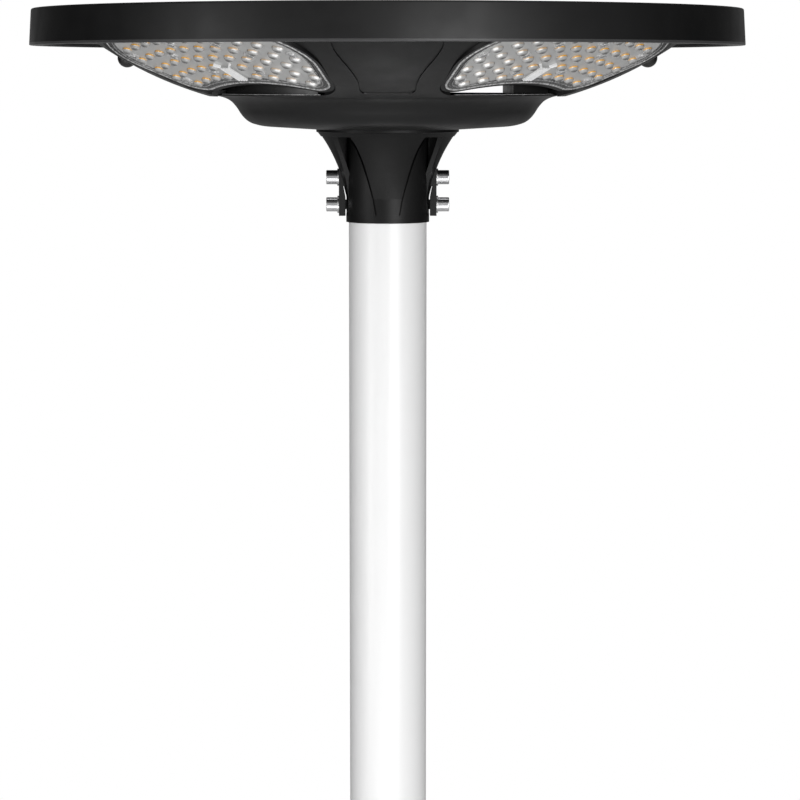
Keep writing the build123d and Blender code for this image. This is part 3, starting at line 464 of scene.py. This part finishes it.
def lathe(name, profile, closed=True, segments=SEGMENTS):
    """Turns a profile of (radius, height) in millimetres round the lamp's axis; height 0 is HEAD_Z."""
    shape = bmesh.new()
    rings = []
    for r, h in profile:
        count = 1 if r == 0 else segments
        rings.append([shape.verts.new((r / 1000 * math.cos(2 * math.pi * k / segments),
                                       r / 1000 * math.sin(2 * math.pi * k / segments), HEAD_Z + h / 1000))
                      for k in range(count)])
    pairs = list(zip(rings, rings[1:]))
    if closed:
        pairs.append((rings[-1], rings[0]))
    for low, high in pairs:
        for k in range(segments):
            after = (k + 1) % segments
            if len(low) == 1:
                shape.faces.new((low[0], high[k], high[after]))
            elif len(high) == 1:
                shape.faces.new((low[k], high[0], low[after]))
            else:
                shape.faces.new((low[k], high[k], high[after], low[after]))
    return finish_mesh(name, shape)


def rounded(points, sizes, steps=6):
    """The points with each corner between the first and last rounded, by its own size."""
    line = [points[0]]
    for before, corner, after, size in zip(points, points[1:], points[2:], sizes):
        a, c, b = Vector(before), Vector(corner), Vector(after)
        to_a, to_b = a - c, b - c
        reach = min(size, to_a.length * 0.49, to_b.length * 0.49)
        start, end = c + to_a.normalized() * reach, c + to_b.normalized() * reach
        for k in range(steps + 1):
            t = k / steps
            line.append(tuple(start * (1 - t) ** 2 + c * 2 * t * (1 - t) + end * t ** 2))
    line.append(points[-1])
    return line


def arc(centre, radius, start, end, steps):
    """Points of an arc between two angles in degrees."""
    return [(centre[0] + radius * math.cos(math.radians(start + (end - start) * k / steps)),
             centre[1] + radius * math.sin(math.radians(start + (end - start) * k / steps)))
            for k in range(steps + 1)]


# ---------------------------------------------------------------- LED modules, as in the CAD, in millimetres
LED_ANGLES = (46.5, 133.5, 226.5, 313.5)
LED_R = (181.0, 291.0)          # inner and outer edge
LED_HALF_DEG = 28.8
LED_CORNER_R = (28.0, 44.0)     # inner and outer corners
LED_SLOPE = 0.465               # rise of the lens face per distance from the axis
LED_REF = (213.0, 151.0)        # a distance from the axis, and the lens face's height there
TILT = math.atan(LED_SLOPE)
LENS_T = 2.0
# Rings of light sources: distance from the axis, step in degrees, first and last step on either side
LED_RINGS = [(194.5, 5.70, (1, 4)), (212.5, 5.15, (1, 5)), (230.0, 5.13, (0, 5)),
             (247.5, 4.87, (0, 5)), (265.0, 4.45, (0, 5)), (281.0, 4.20, (0, 4))]
# Lens screws: distance from the axis, degrees to either side
LENS_SCREWS = [(203.4, 8.6), (203.4, 24.6), (238.8, 12.4), (256.2, 6.6), (256.2, 24.3)]

BEAD_SIZE = (4.5, 6.3, 4.5)     # half width along the slope, half width across it, height
BEAD_STEPS = (16, 36)           # rings and spokes of a bead
BEAD_FOOT = (0.98, -0.15)       # radius and height of its foot, as shares of its size
# The marks are painted: the amber chip's image as the bead would show it, painted highlights and painted
# shade.
# Marks on a bead: plan direction from up the slope towards the side arm (-) or the front or back arm (+),
# how far they reach either way, and their middle and reach in height, as shares of the bead's height
AMBER_MARK = (24.0, 76.0, 0.20, 0.15)
GLINT_MARKS = ((46.0, 20.0, 0.26, 0.15), (60.0, 38.0, 0.40, 0.32))      # at the side, at the front
# Painted shade: a dark spot by each bead's foot, and the tip darkened from TIP_START up.
SHADE_MARK = (-66.0, 36.0, 0.12, 0.36)
TIP_SHADE = 0.9
TIP_START = 0.7                 # height at which the tip's shade begins
AMBER_FADE = (2.0, 19.0)        # degrees towards the front or back arm over which the amber goes
AMBER_LOSS = 0.85               # how much of it goes

# Rim of the lens plate: how far outside its edge, how far below its face, and how strongly the painted
# highlight shows there
LENS_RIM = [(-8.6, 0.0, 0.5), (-8.3, 0.9, 0.2), (-7.7, 0.9, 0.0), (-7.3, 0.5, 0.2), (-7.0, 1.4, 0.7),
            (-6.5, 1.4, 0.7), (-6.2, 0.5, 0.0), (-4.4, 0.3, 0.0), (-4.1, 0.8, 0.2), (-3.7, 0.8, 0.2),
            (-3.4, 0.3, 0.0), (-2.3, 0.4, 0.0), (-1.9, 1.4, 0.9), (-0.7, 1.5, 1.0), (-0.1, 1.1, 0.8),
            (0.3, 0.2, 0.4)]
RIM_EDGE_DEG = 50.0             # edges of the plate's pieces sharper than this stay sharp
FACE_LAP = 0.4                  # the face's plate reaches this far under the rim
FACE_PROUD = 0.05

# Collars round the lens screws: profile of (radius, height), then the ribs between the two crests
BOSS_PROFILE = [(2.9, -0.3), (2.9, 1.5), (3.2, 2.0), (3.5, 1.5), (3.6, 0.2), (5.0, 0.2), (5.2, 1.1),
                (5.5, 1.2), (5.7, 0.6), (5.8, -0.3)]
BOSS_SPOKES = 24
BOSS_RIBS = 7
BOSS_RIB_TURN = 0.3             # place of the first rib, as a share of the step between ribs
BOSS_RIB_PLACE = (4.3, 0.0, 0.9)
BOSS_RIB_SIZE = (2.2, 0.45, 2.0)

# Cable duct: a bar with raised ribs and a fork at its head; sizes are length, width and height
BAR_SINK = 0.4                  # bars stand this far into what they lie on
BAR_CHAMFER = 0.3               # as a share of the bar's smaller side
DUCT_PLACE = (188.5, -1.0)      # distance from the axis, degrees
DUCT_SIZE = (27.0, 11.4, 2.2)
DUCT_RIBS = 4
DUCT_RIB_SPREAD = 0.84          # share of the duct's width that the ribs stand over
DUCT_RIB_INSET = (0.4, 0.6)     # ends of the ribs inside the ends of the duct
DUCT_RIB_SIZE = (2.1, 1.5)      # width and height
FORK_PLACE = (3.0, 3.0)         # back from the duct's head, out from its middle
FORK_TURN = 0.85
FORK_SIZE = (10.5, 2.4, 2.6)

# Strip on the bowl's lip, in each window between the arms, painted in bright dashes: a painted highlight
WINDOW_GLINT_STRIP_R = (170.6, 171.7)         # inner and outer radius
WINDOW_GLINT_STRIP_H = (124.15, 124.50)       # lower and upper height
WINDOW_GLINT_STRIP_HALF_DEG = 22.5
WINDOW_GLINT_STRIP_STEPS = 40


def kidney(grow, steps=14):
    """Outline of an LED module in plan, counter-clockwise, grown by an amount."""
    turns = [math.degrees(math.asin(LED_CORNER_R[0] / (LED_R[0] + LED_CORNER_R[0]))),
             math.degrees(math.asin(LED_CORNER_R[1] / (LED_R[1] - LED_CORNER_R[1])))]
    near, far = LED_HALF_DEG - turns[0], LED_HALF_DEG - turns[1]
    near_r, far_r = LED_R[0] + LED_CORNER_R[0], LED_R[1] - LED_CORNER_R[1]
    near_c = (near_r * math.cos(math.radians(near)), near_r * math.sin(math.radians(near)))
    far_c = (far_r * math.cos(math.radians(far)), far_r * math.sin(math.radians(far)))
    half = (arc((0, 0), LED_R[1] + grow, 0, far, steps)
            + arc(far_c, LED_CORNER_R[1] + grow, far, LED_HALF_DEG + 90, steps * 2)[1:]
            + arc(near_c, LED_CORNER_R[0] + grow, LED_HALF_DEG + 90, near + 180, steps)
            + arc((0, 0), LED_R[0] - grow, near, 0, steps)[1:])
    return half + [(x, -y) for x, y in reversed(half[1:-1])]


def face_height(x):
    """Height of the lens face above the ground, at a distance from the axis along the module's middle."""
    return HEAD_Z * 1000 + LED_REF[1] + (x - LED_REF[0]) * LED_SLOPE


def module_point(x, y, below, turn):
    """A plan point of a module on the level that far below its lens face, turned to its place."""
    z = face_height(x) - below / math.cos(TILT)
    return (Matrix.Rotation(math.radians(turn), 4, "Z") @ Vector((x, y, z))) / 1000


def module_frame(r, angle, turn):
    """Matrix in millimetres at a point of the lens face: X up the slope, Y across, Z out of the face."""
    x, y = r * math.cos(math.radians(angle)), r * math.sin(math.radians(angle))
    up_slope = Vector((math.cos(TILT), 0, math.sin(TILT)))
    outward = Vector((math.sin(TILT), 0, -math.cos(TILT)))
    across = outward.cross(up_slope)
    axes = Matrix((up_slope, across, outward)).transposed().to_4x4()
    place = Matrix.Translation((x, y, face_height(x)))
    to_place = Matrix.Rotation(math.radians(turn), 4, "Z") @ place
    return Matrix.Scale(0.001, 4) @ to_place @ axes


def led_places():
    """(distance, angle) of every light source of a module."""
    places = []
    for r, step, (first, last) in LED_RINGS:
        for k in range(first, last + 1):
            places += [(r, k * step), (r, -k * step)] if k else [(r, 0.0)]
    return places


def stack(levels, turn, name, capped=True):
    """A module solid skinned over outlines; each level is (grow, distance below the lens face, strength of
    the painted highlight there).
    """
    shape = bmesh.new()
    layer = shape.verts.layers.float_color.new("crest")
    loops = []
    for grow, below, crest in levels:
        loops.append([shape.verts.new(module_point(x, y, below, turn)) for x, y in kidney(grow)])
        for vert in loops[-1]:
            vert[layer] = (crest, crest, crest, 1)
    pairs = list(zip(loops, loops[1:]))
    if not capped:
        pairs.append((loops[-1], loops[0]))
    for low, high in pairs:
        for k in range(len(low)):
            after = (k + 1) % len(low)
            shape.faces.new((low[k], low[after], high[after], high[k]))
    if capped:
        shape.faces.new(loops[0])
        shape.faces.new(list(reversed(loops[-1])))
        bmesh.ops.triangulate(shape, faces=[f for f in shape.faces if len(f.verts) > 4])
    return finish_mesh(name, shape, RIM_EDGE_DEG)


def turned(shape, place, profile, segments):
    """Adds a small turned solid at a place: its profile of (radius, height) runs from base to tip."""
    rings = []
    for r, h in profile:
        turns = [2 * math.pi * k / segments for k in range(1 if r == 0 else segments)]
        rings.append([shape.verts.new(place @ Vector((r * math.cos(a), r * math.sin(a), h))) for a in turns])
    for low, high in zip(rings, rings[1:]):
        for k in range(segments):
            after = (k + 1) % segments
            corners = [low[k % len(low)], low[after % len(low)], high[after % len(high)], high[k % len(high)]]
            unique = list(dict.fromkeys(corners))
            if len(unique) > 2:
                shape.faces.new(unique)


def mark_level(mark, azimuth, height):
    """How strongly a mark shows at a direction and height of a bead, 0 to 1."""
    middle, reach, level, rise = mark
    off = abs((azimuth - middle + 180) % 360 - 180) / reach
    return max(0.0, min(1.0, 2 - 2 * off)) * max(0.0, min(1.0, 2 - 2 * abs(height - level) / rise))


def lens_domes(turn):
    """The bead lenses, with the amber chip's painted image, the painted highlight and the painted shade that
    each shows.
    """
    shape = bmesh.new()
    layers = {name: shape.verts.layers.float_color.new(name) for name in ("amber", "glint", "shade")}
    rings, spokes = BEAD_STEPS
    quarter = math.pi / 2 / rings
    profile = ([BEAD_FOOT] + [(math.cos(quarter * k), math.sin(quarter * k)) for k in range(rings)]
               + [(0, 1)])
    # 1 where a module's angles grow towards the front or back arm, -1 where they grow towards a side arm
    front = 1 if math.sin(math.radians(2 * turn)) > 0 else -1
    for r, angle in led_places():
        on_face = module_frame(r, angle, turn)
        place = on_face @ Matrix.Rotation(math.radians(-angle), 4, "Z")
        made_before = len(shape.verts)
        turned(shape, place @ Matrix.Diagonal((*BEAD_SIZE, 1)), profile, spokes)
        shape.verts.ensure_lookup_table()
        to_face = on_face.inverted()
        to_front = (front * angle - AMBER_FADE[0]) / (AMBER_FADE[1] - AMBER_FADE[0])
        to_front = max(0.0, min(1.0, to_front))
        glint_mark = [a + (b - a) * to_front for a, b in zip(*GLINT_MARKS)]
        for vert in shape.verts[made_before:]:
            local = to_face @ vert.co
            azimuth = front * math.degrees(math.atan2(-local.y, local.x))
            height = local.z / BEAD_SIZE[2]
            # Painted shade at the tip and by the foot, a painted highlight, and the amber chip's painted
            # image.
            tip = TIP_SHADE * max(0.0, height - TIP_START) / (1 - TIP_START)
            levels = {"amber": mark_level(AMBER_MARK, azimuth, height) * (1 - AMBER_LOSS * to_front),
                      "glint": mark_level(glint_mark, azimuth, height),
                      "shade": max(mark_level(SHADE_MARK, azimuth, height), tip)}
            for name, level in levels.items():
                vert[layers[name]] = (level, level, level, 1)
    return finish_mesh("lens_domes", shape)


def lens_bosses(turn):
    """Clear collars round the lens screws: two thin crests and short ribs between them."""
    shape = bmesh.new()
    rib_shape = Matrix.Translation(BOSS_RIB_PLACE) @ Matrix.Diagonal((*BOSS_RIB_SIZE, 1))
    for r, angle in [(r, side * angle) for r, angle in LENS_SCREWS for side in (1, -1)]:
        place = module_frame(r, angle, turn)
        turned(shape, place, BOSS_PROFILE, BOSS_SPOKES)
        for k in range(BOSS_RIBS):
            round_boss = Matrix.Rotation(2 * math.pi * (k + BOSS_RIB_TURN) / BOSS_RIBS, 4, "Z")
            bmesh.ops.create_cube(shape, size=1.0, matrix=place @ round_boss @ rib_shape)
    return finish_mesh("lens_bosses", shape)


def bar(shape, place, length, width, height):
    """Adds a bar along X with chamfered top edges."""
    edge = min(width, height) * BAR_CHAMFER
    section = [(-width / 2, -BAR_SINK), (-width / 2, height - edge), (-width / 2 + edge, height),
               (width / 2 - edge, height), (width / 2, height - edge), (width / 2, -BAR_SINK)]
    ends = [[shape.verts.new(place @ Vector((x, y, h))) for y, h in section] for x in (0, length)]
    for k in range(len(section)):
        after = (k + 1) % len(section)
        shape.faces.new((ends[0][k], ends[0][after], ends[1][after], ends[1][k]))
    shape.faces.new(ends[0])
    shape.faces.new(list(reversed(ends[1])))


def lens_duct(turn):
    """The bar of the cable duct at the plate's inner edge, in a darker colour than its ribs: painted shade in
    the grooves between them.
    """
    shape = bmesh.new()
    bar(shape, module_frame(*DUCT_PLACE, turn), *DUCT_SIZE)
    return finish_mesh("lens_duct", shape)


def duct_ribs(turn):
    """The duct's raised ribs and the fork at its head."""
    shape = bmesh.new()
    place = module_frame(*DUCT_PLACE, turn)
    length, width, height = DUCT_SIZE
    for k in range(DUCT_RIBS):
        y = width * (k / (DUCT_RIBS - 1) - 0.5) * DUCT_RIB_SPREAD
        rib = place @ Matrix.Translation((DUCT_RIB_INSET[0], y, height - BAR_SINK))
        bar(shape, rib, length - sum(DUCT_RIB_INSET), *DUCT_RIB_SIZE)
    for side in (1, -1):
        head = Matrix.Translation((length - FORK_PLACE[0], side * FORK_PLACE[1], 0))
        bar(shape, place @ head @ Matrix.Rotation(side * FORK_TURN, 4, "Z"), *FORK_SIZE)
    return finish_mesh("duct_ribs", shape)


def window_glint_strip(turn):
    """A thin strip laid on the bowl's lip across the window under a module, painted in bright dashes: a
    painted highlight.
    """
    shape = bmesh.new()
    inner, outer = WINDOW_GLINT_STRIP_R
    low, high = WINDOW_GLINT_STRIP_H
    section = ((inner, low), (outer, low), (outer, high), (inner, high))
    rings = []
    for k in range(WINDOW_GLINT_STRIP_STEPS + 1):
        angle = math.radians(turn - WINDOW_GLINT_STRIP_HALF_DEG + 2 * WINDOW_GLINT_STRIP_HALF_DEG * k / WINDOW_GLINT_STRIP_STEPS)
        across, along = math.cos(angle) / 1000, math.sin(angle) / 1000
        rings.append([shape.verts.new((r * across, r * along, HEAD_Z + h / 1000)) for r, h in section])
    for here, there in zip(rings, rings[1:]):
        for k in range(4):
            shape.faces.new((here[k], here[(k + 1) % 4], there[(k + 1) % 4], there[k]))
    shape.faces.new(rings[0])
    shape.faces.new(list(reversed(rings[-1])))
    return finish_mesh("window_glint_strip", shape)


def make_led_modules():
    """The four lens plates, each in six pieces, and the strip of painted highlight on the bowl's lip under
    each.
    """
    for number, turn in enumerate(LED_ANGLES, 1):
        back = [(LENS_RIM[-1][0], -LENS_T, 0.0), (LENS_RIM[0][0], -LENS_T, 0.0)]
        rim = stack(LENS_RIM + back, turn, "lens_rim", capped=False)
        new_piece(f"lens_rim_{number}", rim, LENS_EDGE, "head", "clear_lens", f"led_lens_{number}")
        inside = LENS_RIM[0][0] + FACE_LAP
        face = stack([(inside, FACE_PROUD, 0.0), (inside, -LENS_T, 0.0)], turn, "lens_face")
        new_piece(f"lens_face_{number}", face, LENS_FACE, "head", "clear_lens")
        new_piece(f"lens_domes_{number}", lens_domes(turn), DOME, "head", "clear_lens")
        new_piece(f"lens_bosses_{number}", lens_bosses(turn), BOSS, "head", "clear_lens")
        # The duct's bar takes the grey lens face colour: painted shade between its white ribs
        new_piece(f"lens_duct_{number}", lens_duct(turn), LENS_FACE, "head", "clear_lens")
        new_piece(f"duct_ribs_{number}", duct_ribs(turn), FROSTED, "head", "clear_lens")
        new_piece(f"window_glint_strip_{number}", window_glint_strip(turn), WINDOW_GLINT_STRIP, "head", "clear_lens")


# ---------------------------------------------------------------- turned pieces
# Profiles of the turned pieces as (radius, height) in millimetres, with the size of each rounded corner
RIM_LIP_FOOT = [(332.0, 173.0), (332.0, 170.5), (345.0, 170.5), (344.8, 173.0)]
RIM_LIP_CORNERS = [0.6, 2.2]
RIM_OUTSIDE = [(341.4, 173.0), (344.83, 173.0), (342.8, 205.2), (338.9, 205.2)]
RIM_CORNERS = [0.1, 2.4]
RIM_INSIDE = [(338.9, 198.6), (327.0, 198.6), (327.0, 196.0), (340.8, 194.6)]
BOWL_FLOOR = [(0.0, 90.0), (70.0, 90.0)]
BOWL_OUTSIDE = [(74.0, 90.1), (123.0, 93.2), (134.6, 96.6), (141.6, 103.0), (146.6, 111.4), (152.4, 118.0),
                (161.0, 121.7), (172.0, 123.0), (172.0, 124.15), (150.0, 124.15)]
BOWL_CORNERS = [14.0, 5.0, 5.0, 5.0, 4.5, 5.0, 0.4, 0.4]
BOWL_INSIDE = [(147.5, 124.15), (144.2, 116.5), (140.6, 109.0), (134.0, 101.2), (123.0, 96.7), (72.0, 93.5),
               (0.0, 93.5)]
BEZEL_OUTSIDE = [(325.0, 202.9), (327.4, 205.1), (338.5, 205.1), (338.5, 199.0)]
BEZEL_CORNERS = [0.8, 0.7]
BEZEL_INSIDE = [(333.3, 199.0), (333.3, 202.9)]
POLE_WALL = 3.2
POLE_EDGE = 0.6                 # chamfer at the pole's top
# Hole for the power button, in metres: length of the tool that cuts it, and how much smaller its radius
# is than that of the button's bezel
HOLE_TOOL_L = 0.2
BUTTON_HOLE_LESS = 0.0021


def pierce(mesh, centre, radius):
    """Cuts a round vertical hole through a mesh at the bowl's floor."""
    shape = bmesh.new()
    middle = Matrix.Translation((*centre, HEAD_Z + BOWL_FLOOR[0][1] / 1000))
    bmesh.ops.create_cone(shape, cap_ends=True, segments=48, radius1=radius, radius2=radius,
                          depth=HOLE_TOOL_L, matrix=middle)
    tool_mesh = bpy.data.meshes.new("tool")
    shape.to_mesh(tool_mesh)
    shape.free()
    tool = bpy.data.objects.new("tool", tool_mesh)
    blank = bpy.data.objects.new("blank", mesh)
    for thing in (tool, blank):
        bpy.context.collection.objects.link(thing)
    cut = blank.modifiers.new("cut", "BOOLEAN")
    cut.object = tool
    cut.operation = "DIFFERENCE"
    bpy.context.view_layer.update()
    result = bpy.data.meshes.new_from_object(blank.evaluated_get(bpy.context.evaluated_depsgraph_get()))
    shape = bmesh.new()
    shape.from_mesh(result)
    mesh.clear_geometry()
    shape.to_mesh(mesh)
    shape.free()
    for thing in (tool, blank):
        bpy.data.objects.remove(thing)
    smooth(mesh)


def make_turned_pieces():
    """The turned and cast rings, with the soft edges that the castings have."""
    # The rim's foot is a ring of its own in the lighter coat: a painted highlight
    lip = lathe("rim_lip", rounded(RIM_LIP_FOOT, RIM_LIP_CORNERS))
    new_piece("rim_lip", lip, RIM_FOOT_HIGHLIGHT, "head", "cast_black")
    rim = lathe("rim_ring", rounded(RIM_OUTSIDE, RIM_CORNERS) + RIM_INSIDE)
    new_piece("rim_ring", rim, BLACK, "head", "cast_black", "rim_skirt")
    pole_low, pole_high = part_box("pole_tube")
    low, high = (pole_low[2] - HEAD_Z) * 1000, (pole_high[2] - HEAD_Z) * 1000
    outer = pole_high[0] * 1000
    inner = outer - POLE_WALL
    pole = [(inner, low), (outer, low), (outer, high - POLE_EDGE), (outer - POLE_EDGE, high), (inner, high)]
    new_piece("pole_skin", lathe("pole_skin", pole, segments=160), WHITE, "pole", "white_paint", "pole_tube")
    bowl = BOWL_FLOOR + rounded(BOWL_OUTSIDE, BOWL_CORNERS) + BOWL_INSIDE
    cup = lathe("bowl_cup", bowl, closed=False, segments=240)
    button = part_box("button_bezel")
    centre = (Vector(button[0]) + Vector(button[1])) / 2
    pierce(cup, (centre.x, centre.y), (button[1][0] - button[0][0]) / 2 - BUTTON_HOLE_LESS)
    new_piece("bowl_cup", cup, BLACK, "head", "cast_black", "battery_bowl")
    bezel = lathe("bezel_ring", rounded(BEZEL_OUTSIDE, BEZEL_CORNERS) + BEZEL_INSIDE)
    new_piece("bezel_ring", bezel, BLACK, "head", "cast_black", "panel_bezel")


make_studio()
dress_cad_nodes()
make_turned_pieces()
make_led_modules()
